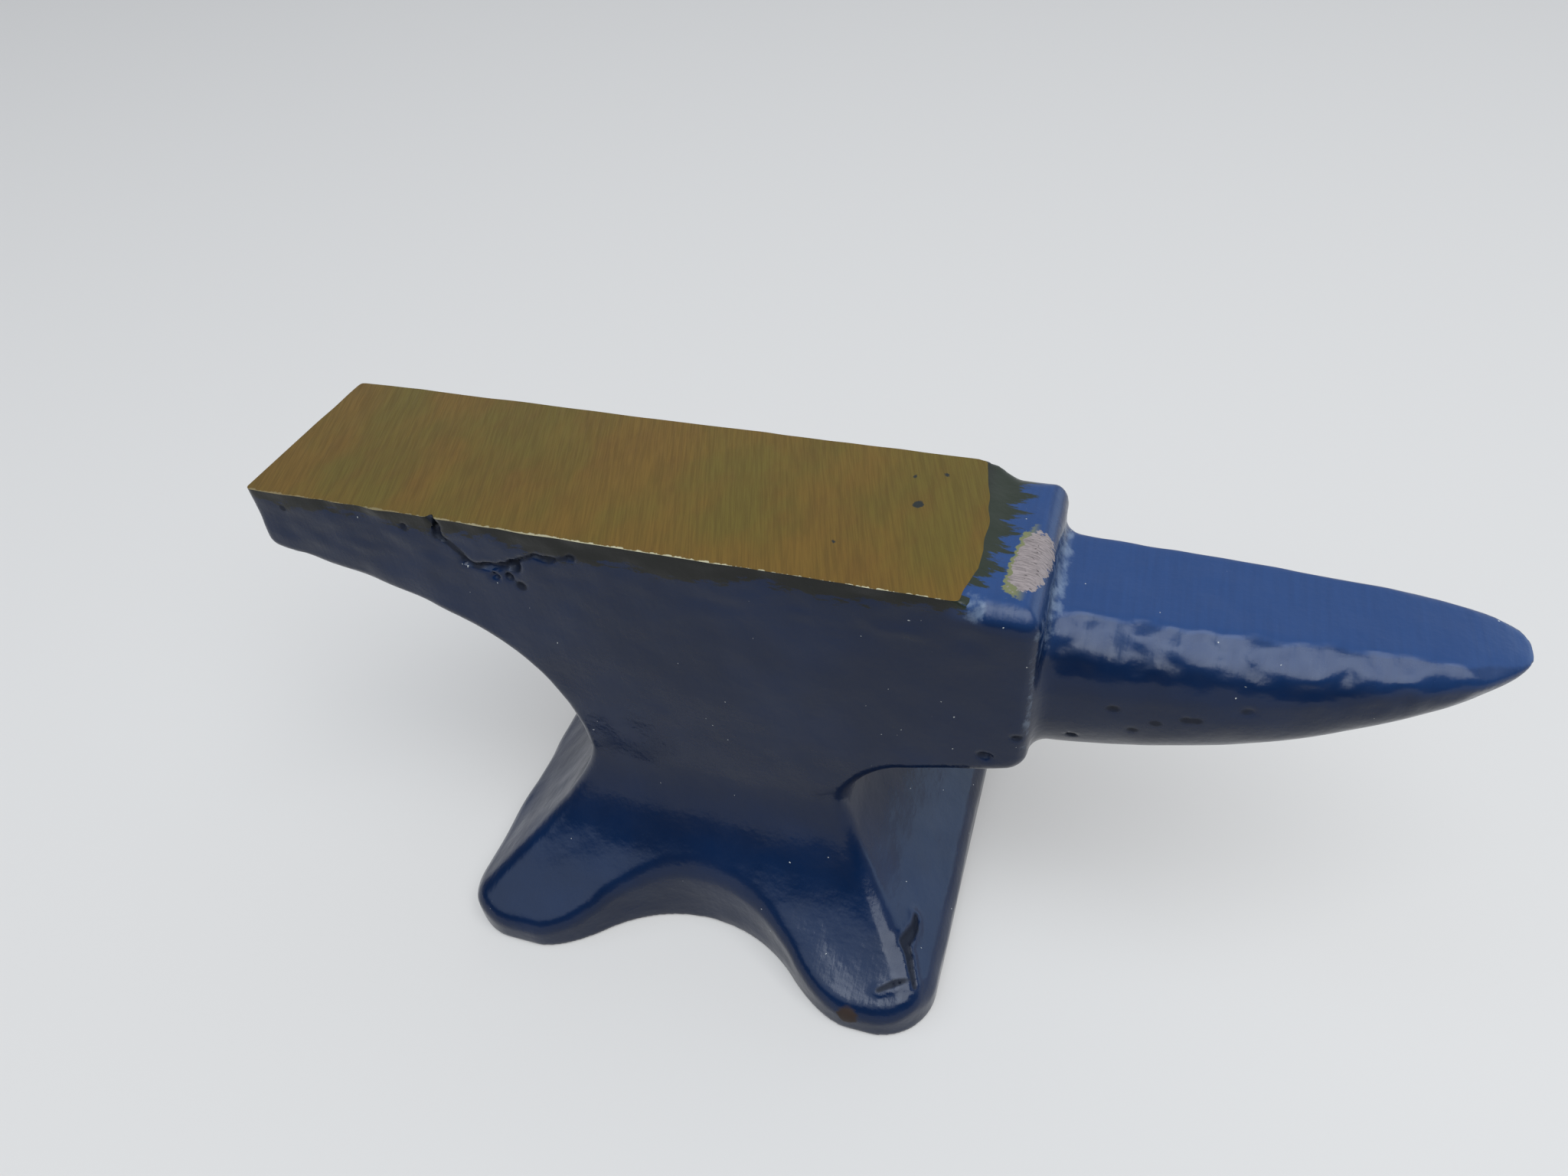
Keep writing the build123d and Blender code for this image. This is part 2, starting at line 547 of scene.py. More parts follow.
@dataclass
class Flaws:
    """Marks that casting, grinding and use left on the anvil."""

    block: Block
    crack_width: float = 0.30
    branch_width: float = 0.17
    crack_taper: float = 0.6
    pit_taper: float = 0.8
    blister_stretch: float = 1.5
    gouge_depth: float = 0.26
    gouge_edge: float = 0.10
    hollow_edge: float = 0.12
    burr_height: float = 0.16
    burr_width: float = 0.3
    ragged_depth: float = 0.23
    ragged_size: float = 0.75

    def __post_init__(self) -> None:
        """Lay out the flaws.

        The crack, its branch and the pits are places (along, up) on the near wall, and each pit has its
        radius. The blisters are places in space with their radii. The gouges are routes on the foot seen
        from above, of (along, across, radius).
        """
        self.crack = [(-25.1, 52.2), (-24.5, 51.0), (-25.1, 49.9), (-23.6, 48.8), (-22.7, 47.9)]
        self.crack += [(-22.3, 46.8), (-21.4, 46.5), (-20.2, 46.8), (-18.7, 46.9), (-17.2, 47.4)]
        self.branch = [(-17.2, 47.4), (-16.1, 48.4), (-14.4, 49.3), (-13.1, 48.8)]
        self.branch += [(-12.0, 49.3), (-9.9, 50.0)]
        self.pits = [(-17.1, 47.3, 0.75), (-18.2, 47.1, 0.45), (-17.9, 45.8, 0.42), (-16.8, 44.8, 0.50)]
        self.pits += [(-19.4, 45.5, 0.26), (-28.6, 50.2, 0.36), (-42.9, 50.1, 0.30), (-24.9, 49.9, 0.5)]
        self.pits += [(-22.5, 46.9, 0.42), (-10.2, 49.9, 0.36), (-13.0, 48.9, 0.3)]
        self.blisters = [(29.7, -10.4, 32.8, 0.36), (32.6, -10.3, 36.1, 0.30), (37.3, -7.6, 35.1, 0.30)]
        self.blisters += [(40.5, -8.3, 40.1, 0.34), (44.3, -8.0, 38.9, 0.30), (46.8, -8.0, 39.9, 0.34)]
        self.blisters += [(51.5, -7.7, 41.9, 0.34), (42.5, -7.9, 37.5, 0.27), (47.6, -7.9, 40.0, 0.30)]
        self.gouges = [[(24.2, -13.2, 0.10), (24.4, -14.6, 0.34), (23.8, -16.9, 0.48), (24.5, -18.0, 0.30)]]
        self.gouges[0] += [(25.0, -19.2, 0.24), (25.7, -20.6, 0.12)]
        self.gouges += [[(24.7, -20.4, 0.10), (23.6, -21.0, 0.22), (22.0, -22.0, 0.10)]]

    def wound(self, x: Array, y: Array, z: Array) -> Array:
        """Distance from points to the hollows of the crack and the pits.

        Args:
            x: Places along the anvil.
            y: Places across it.
            z: Their heights.

        Returns:
            The distances, negative inside a hollow.
        """
        depth = y + self.block.half_width
        nearest = np.full(np.broadcast_shapes(x.shape, y.shape, z.shape), np.inf)
        for route, width in ((self.crack, self.crack_width), (self.branch, self.branch_width)):
            for start, end in zip(np.array(route), np.array(route[1:])):
                gap = beside(start, end, x, z)[1]
                nearest = np.minimum(nearest, np.hypot(gap, self.crack_taper * depth) - width)
        for along, up, radius in self.pits:
            gap = np.hypot(x - along, z - up)
            nearest = np.minimum(nearest, np.hypot(gap, self.pit_taper * depth) - radius)
        for along, across, up, radius in self.blisters:
            gap = np.sqrt(((x - along) / self.blister_stretch) ** 2 + (y - across) ** 2 + (z - up) ** 2)
            nearest = np.minimum(nearest, gap - radius)
        return nearest

    def torn(self, x: Array, y: Array) -> Array:
        """Distance in plan from points to the gouges on the foot, negative inside one."""
        nearest = np.full(np.broadcast_shapes(x.shape, y.shape), np.inf)
        for route in self.gouges:
            for start, end in zip(np.array(route), np.array(route[1:])):
                share, gap = beside(start, end, x, y)
                nearest = np.minimum(nearest, gap - start[2] - share * (end[2] - start[2]))
        return nearest

    def cut(self, form: Array, lattice: Lattice) -> Array:
        """Take the hollows out of a form, and raise a low burr beside the gouges."""
        ragged = self.ragged_depth * lattice.rumple((self.ragged_size,) * 3, 31)
        torn = self.torn(lattice.x, lattice.y) + ragged
        low = lattice.z < self.block.base.top
        burr = self.burr_height * np.exp(-(((torn - self.burr_width) / self.burr_width) ** 2))
        form = form - np.where(low, burr, 0.0)
        gouge = np.maximum(torn, -self.gouge_depth - form)
        form = np.where(low, carve(form, gouge, self.gouge_edge), form)
        return carve(form, self.wound(lattice.x, lattice.y, lattice.z) + ragged, self.hollow_edge)


@dataclass
class Wear:
    """Where varnish ran over the enamel, where the metal shows, and where the casting was ground flat."""

    block: Block
    horn: Horn
    flaws: Flaws
    run_depth: float = 2.3
    run_swell: float = 0.9
    patch_reach: float = 29.1
    chip_place: tuple[float, float] = (31.65, -2.9)
    chip_size: tuple[float, float] = (1.50, 4.25)
    chip_squareness: float = 3.2
    patch_side: float = -9.6

    def varnish(self, x: Array, y: Array, z: Array) -> Array:
        """How far inside the varnish a point lies: the run under the near edge, and the table's patch."""
        thick = self.run_depth + self.run_swell * np.sin(0.13 * x + 0.9) * np.cos(0.31 * x)
        tail = ease(x, self.block.plate_end + 0.5, self.block.plate_end - 8.0)
        heel = ease(x, -20.0, -36.0)
        run = z - self.block.face_height + thick * (0.35 + 0.65 * tail) * (1.0 - 0.45 * heel)
        run = np.where((y < -self.block.half_width + 1.0) & (x < self.block.plate_end), run, -OUTSIDE)
        ragged = 0.55 * np.sin(2.3 * y) + 0.35 * np.sin(5.1 * y + 1.0) + 0.09 * (y + 2.0)
        reach = self.patch_reach + ragged - ease(y, -5.5, -9.5) * 2.2
        on_table = (z > self.block.table_height - 1.5) & (y > self.patch_side)
        patch = np.where(on_table, reach - x, -OUTSIDE)
        return np.maximum(run, patch)

    def bare(self, x: Array, y: Array, z: Array) -> Array:
        """How far inside the chip on the table a point lies."""
        along = (x - self.chip_place[0] - 0.11 * (y - self.chip_place[1])) / self.chip_size[0]
        across = (y - self.chip_place[1]) / self.chip_size[1]
        square = self.chip_squareness
        inside = 1.0 - (np.abs(along) ** square + np.abs(across) ** square) ** (1 / square)
        return np.where(z > self.block.table_height - 3.0, inside * self.chip_size[0], -OUTSIDE)

    def ground(self, x: Array, y: Array, z: Array) -> Array:
        """How much a point belongs to the table or the horn's flat, which were ground before painting."""
        drop = self.block.table_height - z
        table = np.maximum(ease(drop, 0.5, 0.1), 0.65 * ease(drop, 1.9, 0.6))
        table = table * ease(x, self.block.face_reach - 2.0, self.block.face_reach + 0.5)
        share = np.clip((x - self.horn.root) / self.horn.length, 0.0, 1.0)
        drop = self.horn.flat(share) - z
        horn = np.maximum(ease(drop, 0.42, 0.18), 0.60 * ease(drop, 3.0, 0.8))
        past_shoulder = ease(x, self.horn.root - 0.4, self.horn.root + 1.0)
        return np.maximum(table, horn * past_shoulder)

    def scuff_and_highlight(self, x: Array, y: Array, z: Array) -> Array:
        """How much a point is rubbed, partly a painted highlight: at the horn's root, the table's near corner
        and the shoulder's edge.
        """
        root = 0.75 * ease(np.abs(x - self.horn.root - 0.5), 1.3, 0.2) * ease(z, 44.0, 46.5)
        corner = np.hypot(x - self.block.plate_end - 0.4, np.hypot(y + self.block.half_width - 0.8, z - 51.0))
        front = np.hypot(x - self.block.shoulder_reach + 0.3, y + self.block.half_width - 0.5)
        edge = 0.6 * ease(front, 0.8, 0.2) * ease(z, 33.0, 35.0)
        return np.maximum(np.maximum(root, edge), 0.95 * ease(corner, 1.9, 0.6))

    def mark(self, mesh: bpy.types.Mesh) -> None:
        """Write the marks on a mesh's points, for its finish to read."""
        places = np.empty(len(mesh.vertices) * 3, np.float32)
        mesh.vertices.foreach_get("co", places)
        x, y, z = places.reshape(-1, 3).T / MM
        torn = np.where(z < 10.0, self.flaws.torn(x, y), OUTSIDE)
        marks = {
            "varnish": self.varnish(x, y, z),
            "bare": self.bare(x, y, z),
            "ground": self.ground(x, y, z),
            "scuff_and_highlight": self.scuff_and_highlight(x, y, z),
            "hollow": -np.minimum(self.flaws.wound(x, y, z), torn),
        }
        for name, values in marks.items():
            made = mesh.attributes.new(name, "FLOAT", "POINT")
            made.data.foreach_set("value", values.astype(np.float32))


@dataclass
class Casting:
    """The whole casting, worked out in one and then parted into its pieces."""

    base: Base
    block: Block
    horn: Horn
    flaws: Flaws
    pitch: float = 0.3
    broad_relief: float = 0.10
    fine_relief: float = 0.045
    heel_relief: float = 0.17
    band_relief: float = 0.08
    margin: float = 1.2
    face_stock: float = 2.4
    crease: float = radians(38.0)

    def shape(self) -> bpy.types.Mesh:
        """Work out the whole casting's skin as one closed mesh."""
        corners = [node_box(piece) for piece in Piece]
        low = np.min([low for low, _ in corners], axis=0)
        high = np.max([high for _, high in corners], axis=0)
        beyond = [self.margin, self.margin, self.face_stock]
        lattice = Lattice(low - self.margin, high + beyond, self.pitch)
        form = join(self.block.form(lattice), self.horn.form(lattice), self.horn.root_fillet)
        form = np.minimum(form, self.base.form(lattice))
        above_sole = ease(lattice.z, 0.0, 2.0)
        form = form + above_sole * self.broad_relief * lattice.rumple((7.0, 7.0, 6.0), 11)
        form = form + above_sole * self.fine_relief * lattice.rumple((1.8, 1.8, 1.8), 12)
        form = form + self.seams(lattice)
        form = self.flaws.cut(form, lattice)
        points, faces = lattice.skin(form)
        points = np.clip(points, low, high + [0.0, 0.0, self.face_stock])
        mesh = bpy.data.meshes.new("casting")
        mesh.from_pydata((points * MM).tolist(), [], faces.tolist())
        return mesh

    def seams(self, lattice: Lattice) -> Array:
        """Rougher skin along the heel's underside and in a band under the near edge."""
        heel = ease(lattice.x, -22.0, -30.0) * ease(lattice.z, 48.0, 46.0)
        band = ease(-lattice.y, 8.5, 10.0) * ease(lattice.z, 45.0, 47.5) * ease(lattice.x, 30.0, 27.0)
        rough = self.heel_relief * heel * lattice.rumple((2.4, 2.4, 2.0), 41)
        return rough + self.band_relief * band * lattice.rumple((1.5, 1.5, 0.9), 42)

    def part(self, whole: bmesh.types.BMesh, piece: Piece) -> bpy.types.Object:
        """Cut one piece out of the casting on the flat planes of its seats.

        Args:
            whole: The whole casting, which stays as it is.
            piece: Which piece to keep.

        Returns:
            The new object, with its seats closed.
        """
        up, along = Vector((0, 0, 1)), Vector((1, 0, 0))
        base_top = Vector((0, 0, self.base.top * MM))
        seat = Vector((0, 0, self.block.seat * MM))
        end = Vector((self.block.plate_end * MM, 0, 0))
        cuts = {
            Piece.BASE: [(base_top, up)],
            Piece.BODY: [(base_top, -up), (seat, up), (end, along)],
            Piece.FACE: [(seat, -up), (end, along)],
            Piece.HORN: [(base_top, -up), (end, -along)],
        }
        work = whole.copy()
        for place, outward in cuts[piece]:
            cut_flat(work, place, outward)
        mesh = bpy.data.meshes.new(piece.value)
        for edge in work.edges:
            edge.smooth = len(edge.link_faces) == 2 and edge.calc_face_angle(0.0) < self.crease
        for face in work.faces:
            face.smooth = True
        work.to_mesh(mesh)
        work.free()
        made = bpy.data.objects.new(f"{piece.value}_casting", mesh)
        bpy.context.scene.collection.objects.link(made)
        return made


def cut_flat(work: bmesh.types.BMesh, place: Vector, outward: Vector) -> None:
    """Cut a closed mesh on a plane and close it with a flat face.

    Args:
        work: The mesh, changed in place.
        place: A point of the plane.
        outward: The plane's normal, on the side that goes.
    """
    everything = work.verts[:] + work.edges[:] + work.faces[:]
    made = bmesh.ops.bisect_plane(
        work, geom=everything, plane_co=place, plane_no=outward, clear_outer=True, dist=1e-8
    )
    rim = [item for item in made["geom_cut"] if isinstance(item, bmesh.types.BMEdge)]
    closed = bmesh.ops.holes_fill(work, edges=rim, sides=0)
    bmesh.ops.triangulate(work, faces=closed["faces"])


class Sockets:
    """Short forms for wiring a material's nodes."""

    def __init__(self, name: str) -> None:
        """Start an empty material with its output and shader."""
        self.material = bpy.data.materials.new(name)
        self.material.use_nodes = True
        self.tree = self.material.node_tree
        self.tree.nodes.clear()
        self.shader = self.tree.nodes.new("ShaderNodeBsdfPrincipled")
        output = self.tree.nodes.new("ShaderNodeOutputMaterial")
        self.tree.links.new(self.shader.outputs["BSDF"], output.inputs["Surface"])
        place = self.tree.nodes.new("ShaderNodeTexCoord")
        scale = self.tree.nodes.new("ShaderNodeVectorMath")
        scale.operation = "SCALE"
        scale.inputs["Scale"].default_value = 1.0 / MM
        self.tree.links.new(place.outputs["Object"], scale.inputs[0])
        self.place = scale.outputs["Vector"]

    def wire(self, source: object, socket: bpy.types.NodeSocket) -> None:
        """Join a socket or a plain value to an input."""
        if isinstance(source, bpy.types.NodeSocket):
            self.tree.links.new(source, socket)
        else:
            socket.default_value = (*source, 1.0) if isinstance(source, tuple) else source

    def noise(self, size: Triple, detail: float = 3.0, roughness: float = 0.5) -> bpy.types.NodeSocket:
        """Noise from 0 to 1 whose grains have the given size along each axis, in millimetres."""
        stretch = self.tree.nodes.new("ShaderNodeVectorMath")
        stretch.operation = "DIVIDE"
        self.wire(self.place, stretch.inputs[0])
        stretch.inputs[1].default_value = size
        made = self.tree.nodes.new("ShaderNodeTexNoise")
        made.inputs["Scale"].default_value = 1.0
        made.inputs["Detail"].default_value = detail
        made.inputs["Roughness"].default_value = roughness
        self.wire(stretch.outputs["Vector"], made.inputs["Vector"])
        return made.outputs["Fac"]

    def ramp(
        self, source: object, low: float, high: float, start: float = 0.0, end: float = 1.0
    ) -> bpy.types.NodeSocket:
        """Carry a value smoothly from one range to another, and hold it at the ends.

        Args:
            source: The value, as a socket or a number.
            low: Where its range begins, which may be above high.
            high: Where its range ends.
            start: What comes out at low.
            end: What comes out at high.

        Returns:
            The socket that gives the result.
        """
        made = self.tree.nodes.new("ShaderNodeMapRange")
        made.interpolation_type = "SMOOTHSTEP"
        for name, value in (("From Min", low), ("From Max", high), ("To Min", start), ("To Max", end)):
            made.inputs[name].default_value = value
        self.wire(source, made.inputs["Value"])
        return made.outputs["Result"]

    def sum(self, how: str, first: object, second: object) -> bpy.types.NodeSocket:
        """Combine two values by a named sum, such as ADD or MULTIPLY."""
        made = self.tree.nodes.new("ShaderNodeMath")
        made.operation = how
        self.wire(first, made.inputs[0])
        self.wire(second, made.inputs[1])
        return made.outputs["Value"]

    def mix(self, share: object, first: object, second: object) -> bpy.types.NodeSocket:
        """Blend two colours."""
        made = self.tree.nodes.new("ShaderNodeMix")
        made.data_type = "RGBA"
        self.wire(share, made.inputs[0])
        self.wire(first, made.inputs[6])
        self.wire(second, made.inputs[7])
        return made.outputs[2]

    def mark(self, name: str) -> bpy.types.NodeSocket:
        """Read a value that the mesh holds at its points."""
        made = self.tree.nodes.new("ShaderNodeAttribute")
        made.attribute_name = name
        return made.outputs["Fac"]

    def along(self, axis: str = "X") -> bpy.types.NodeSocket:
        """Place along one axis of the piece, in millimetres."""
        apart = self.tree.nodes.new("ShaderNodeSeparateXYZ")
        self.wire(self.place, apart.inputs[0])
        return apart.outputs[axis]

    def gap(self, spot: Triple) -> bpy.types.NodeSocket:
        """Distance from a place on the piece, in millimetres."""
        made = self.tree.nodes.new("ShaderNodeVectorMath")
        made.operation = "DISTANCE"
        self.wire(self.place, made.inputs[0])
        made.inputs[1].default_value = spot
        return made.outputs["Value"]

    def bump(
        self, height: object, depth: float, under: bpy.types.NodeSocket | None = None
    ) -> bpy.types.NodeSocket:
        """Relief in the shading, with its depth in millimetres."""
        made = self.tree.nodes.new("ShaderNodeBump")
        made.inputs["Strength"].default_value = 1.0
        made.inputs["Distance"].default_value = depth * MM
        self.wire(height, made.inputs["Height"])
        if under is not None:
            self.wire(under, made.inputs["Normal"])
        return made.outputs["Normal"]


@dataclass(frozen=True)
class Enamel:
    """Glossy blue enamel brushed over the rough casting, with varnish and bare metal where they lie, painted
    shade in the hollows, and rubbed edges that are partly a painted highlight.
    """

    deep: Colour = (0.0024, 0.0105, 0.036)
    rich: Colour = (0.0030, 0.0145, 0.050)
    thin: Colour = (0.0130, 0.045, 0.140)
    # pale rubbed paint, partly a painted highlight along edges
    scuffed_and_highlight: Colour = (0.20, 0.25, 0.32)
    olive: Colour = (0.016, 0.022, 0.013)
    treacle: Colour = (0.0048, 0.0055, 0.0036)
    fringe: Colour = (0.17, 0.17, 0.055)
    iron: Colour = (0.33, 0.275, 0.26)
    rust: Colour = (0.030, 0.017, 0.012)
    # painted shade: the dark colour laid in the crack, the pits, the blisters and the gouges
    hollow_shade: Colour = (0.0030, 0.0060, 0.0160)
    dust: Colour = (0.45, 0.45, 0.42)
    roughness: float = 0.17
    ior: float = 1.38
    rust_place: Triple = (19.2, -24.4, 2.8)

    def paint(self, kit: Sockets) -> bpy.types.NodeSocket:
        """Colour of the enamel: deep blue, thinner over ground metal, with dust in it."""
        patches = kit.ramp(kit.noise((14.0, 14.0, 14.0), 3.0, 0.55), 0.35, 0.70)
        paint = kit.mix(patches, self.deep, self.rich)
        streaks = kit.ramp(kit.noise((0.45, 7.0, 7.0), 3.0, 0.6), 0.25, 0.75, 0.86, 1.0)
        paint = kit.mix(kit.sum("MULTIPLY", kit.mark("ground"), streaks), paint, self.thin)
        # Pale rubbed paint at the horn's root, the table's near corner and the shoulder's front edge, partly
        # a painted highlight along those edges.
        grazed = kit.ramp(kit.noise((1.1, 1.1, 1.1), 4.0, 0.62), 0.25, 0.75, -0.40, 0.40)
        scuffs_and_highlights = kit.ramp(kit.sum("ADD", kit.mark("scuff_and_highlight"), grazed), 0.42, 1.15, 0.0, 0.50)
        paint = kit.mix(scuffs_and_highlights, paint, self.scuffed_and_highlight)
        specks = kit.ramp(kit.noise((0.42, 0.42, 0.42), 0.0), 0.885, 0.900)
        return kit.mix(specks, paint, self.dust)

    def material(self) -> bpy.types.Material:
        """Build the finish."""
        kit = Sockets("blue_enamel")
        paint = self.paint(kit)
        ragged = kit.ramp(kit.noise((1.8, 0.35, 0.6), 4.0, 0.65), 0.25, 0.75, -0.9, 0.9)
        varnish = kit.ramp(kit.sum("ADD", kit.mark("varnish"), ragged), -0.12, 0.5)
        paint = kit.mix(varnish, paint, kit.mix(kit.mark("ground"), self.treacle, self.olive))
        near_rust = kit.sum("ADD", kit.gap(self.rust_place), kit.noise((1.4, 0.6, 0.4), 4.0))
        rusted = kit.ramp(near_rust, 1.90, 1.35)
        paint = kit.mix(rusted, paint, self.rust)
        # Painted shade: the crack, the pits, the blisters and the gouges are darkened inside.
        hollow = kit.ramp(kit.mark("hollow"), -0.28, 0.04)
        paint = kit.mix(hollow, paint, self.hollow_shade)
        torn = kit.ramp(kit.noise((0.9, 0.6, 0.9), 3.0, 0.6), 0.25, 0.75, -0.22, 0.22)
        chip = kit.sum("ADD", kit.mark("bare"), torn)
        heelward = kit.ramp(kit.along(), 31.9, 30.6, 0.0, 0.85)
        stained = kit.sum("MULTIPLY", kit.ramp(chip, -0.34, -0.20), heelward)
        paint = kit.mix(stained, paint, self.fringe)
        bare = kit.ramp(chip, 0.0, 0.07)
        scratched = kit.ramp(kit.noise((0.9, 0.12, 1.0), 3.0, 0.7), 0.38, 0.70)
        metal = kit.mix(scratched, self.iron, tuple(0.50 * part for part in self.iron))
        specks = kit.ramp(kit.noise((0.5, 0.3, 0.5), 1.0), 0.68, 0.72)
        metal = kit.mix(specks, metal, tuple(0.3 * part for part in self.iron))
        kit.wire(kit.mix(bare, paint, metal), kit.shader.inputs["Base Color"])
        kit.wire(kit.sum("MULTIPLY", bare, 0.35), kit.shader.inputs["Metallic"])
        patchy = kit.noise((3.0, 3.0, 3.0), 4.0, 0.6)
        gloss = kit.ramp(patchy, 0.3, 0.75, self.roughness, self.roughness + 0.09)
        gloss = kit.sum("ADD", gloss, kit.sum("MULTIPLY", kit.mark("ground"), 0.12))
        gloss = kit.sum("ADD", gloss, kit.sum("MULTIPLY", bare, 0.40))
        gloss = kit.sum("ADD", gloss, kit.sum("MULTIPLY", kit.sum("MAXIMUM", hollow, rusted), 0.45))
        kit.wire(gloss, kit.shader.inputs["Roughness"])
        kit.shader.inputs["IOR"].default_value = self.ior
        peel = kit.bump(kit.noise((2.0, 2.0, 2.0), 3.0, 0.5), 0.07)
        brushed = kit.bump(kit.noise((0.35, 5.0, 5.0), 2.0, 0.5), 0.012, peel)
        kit.wire(kit.bump(kit.noise((0.6, 0.6, 0.6), 1.0), 0.014, brushed), kit.shader.inputs["Normal"])
        return kit.material


@dataclass(frozen=True)
class GroundIron:
    """Bare ground face under a film of golden varnish, with the grinding lines running across it."""

    gold: Colour = (0.195, 0.108, 0.016)
    olive: Colour = (0.155, 0.112, 0.016)
    brown: Colour = (0.160, 0.080, 0.014)
    spot: Colour = (0.022, 0.026, 0.024)
    # bright burr metal along the near edge, partly a painted highlight
    burr: Colour = (0.56, 0.51, 0.33)
    metallic: float = 0.55
    tilt: float = radians(-18.0)
    spots: tuple[Triple, ...] = ((20.3, 2.1, 0.55), (22.0, 7.2, 0.32), (19.1, 6.3, 0.30), (14.0, -5.0, 0.26))

    def lines(self, kit: Sockets) -> tuple[bpy.types.NodeSocket, bpy.types.NodeSocket]:
        """Fine and coarse grinding lines, which run across the face a little askew."""
        turned = kit.tree.nodes.new("ShaderNodeVectorRotate")
        turned.rotation_type = "Z_AXIS"
        turned.inputs["Angle"].default_value = self.tilt
        upright = kit.place
        kit.wire(upright, turned.inputs["Vector"])
        kit.place = turned.outputs["Vector"]
        fine = kit.noise((0.14, 4.5, 1.0), 2.0, 0.6)
        coarse = kit.noise((0.42, 8.0, 1.0), 2.0, 0.5)
        kit.place = upright
        return fine, coarse

    def material(self, block: Block) -> bpy.types.Material:
        """Build the finish for a face with the block's near edge."""
        kit = Sockets("ground_iron")
        fine, coarse = self.lines(kit)
        clouds = kit.ramp(kit.noise((9.0, 14.0, 6.0), 4.0, 0.6), 0.34, 0.68)
        stains = kit.ramp(kit.noise((5.0, 10.0, 5.0), 5.0, 0.65), 0.45, 0.75)
        film = kit.mix(kit.sum("MULTIPLY", stains, 0.6), kit.mix(clouds, self.gold, self.olive), self.brown)
        shade = kit.ramp(kit.sum("ADD", kit.sum("MULTIPLY", fine, 1.2), coarse), 0.80, 1.40)
        film = kit.mix(kit.sum("MULTIPLY", shade, 0.42), film, tuple(0.42 * part for part in self.gold))
        blur = kit.ramp(kit.noise((0.5, 0.5, 0.5), 2.0), 0.2, 0.8, -0.2, 0.2)
        for along, across, radius in self.spots:
            gap = kit.sum("ADD", kit.gap((along, across, block.face_height)), blur)
            film = kit.mix(kit.ramp(gap, radius, radius - 0.15), film, self.spot)
        # Painted highlight along the near edge of the face: the bare burr is drawn brighter than the varnish,
        # and stronger towards the horn end.
        ragged = kit.ramp(kit.noise((0.7, 5.0, 5.0), 3.0, 0.6), 0.35, 0.65, -0.02, 0.20)
        edge = kit.sum("ADD", kit.along("Y"), ragged)
        near = -block.half_width
        burr = kit.ramp(edge, near + 0.23, near + 0.13)
        burr = kit.sum("MULTIPLY", burr, kit.ramp(kit.along(), -30.0, -5.0, 0.25, 1.0))
        kit.wire(kit.mix(burr, film, self.burr), kit.shader.inputs["Base Color"])
        kit.shader.inputs["Metallic"].default_value = self.metallic
        kit.wire(kit.ramp(fine, 0.3, 0.7, 0.36, 0.50), kit.shader.inputs["Roughness"])
        kit.wire(kit.bump(fine, 0.018), kit.shader.inputs["Normal"])
        return kit.material


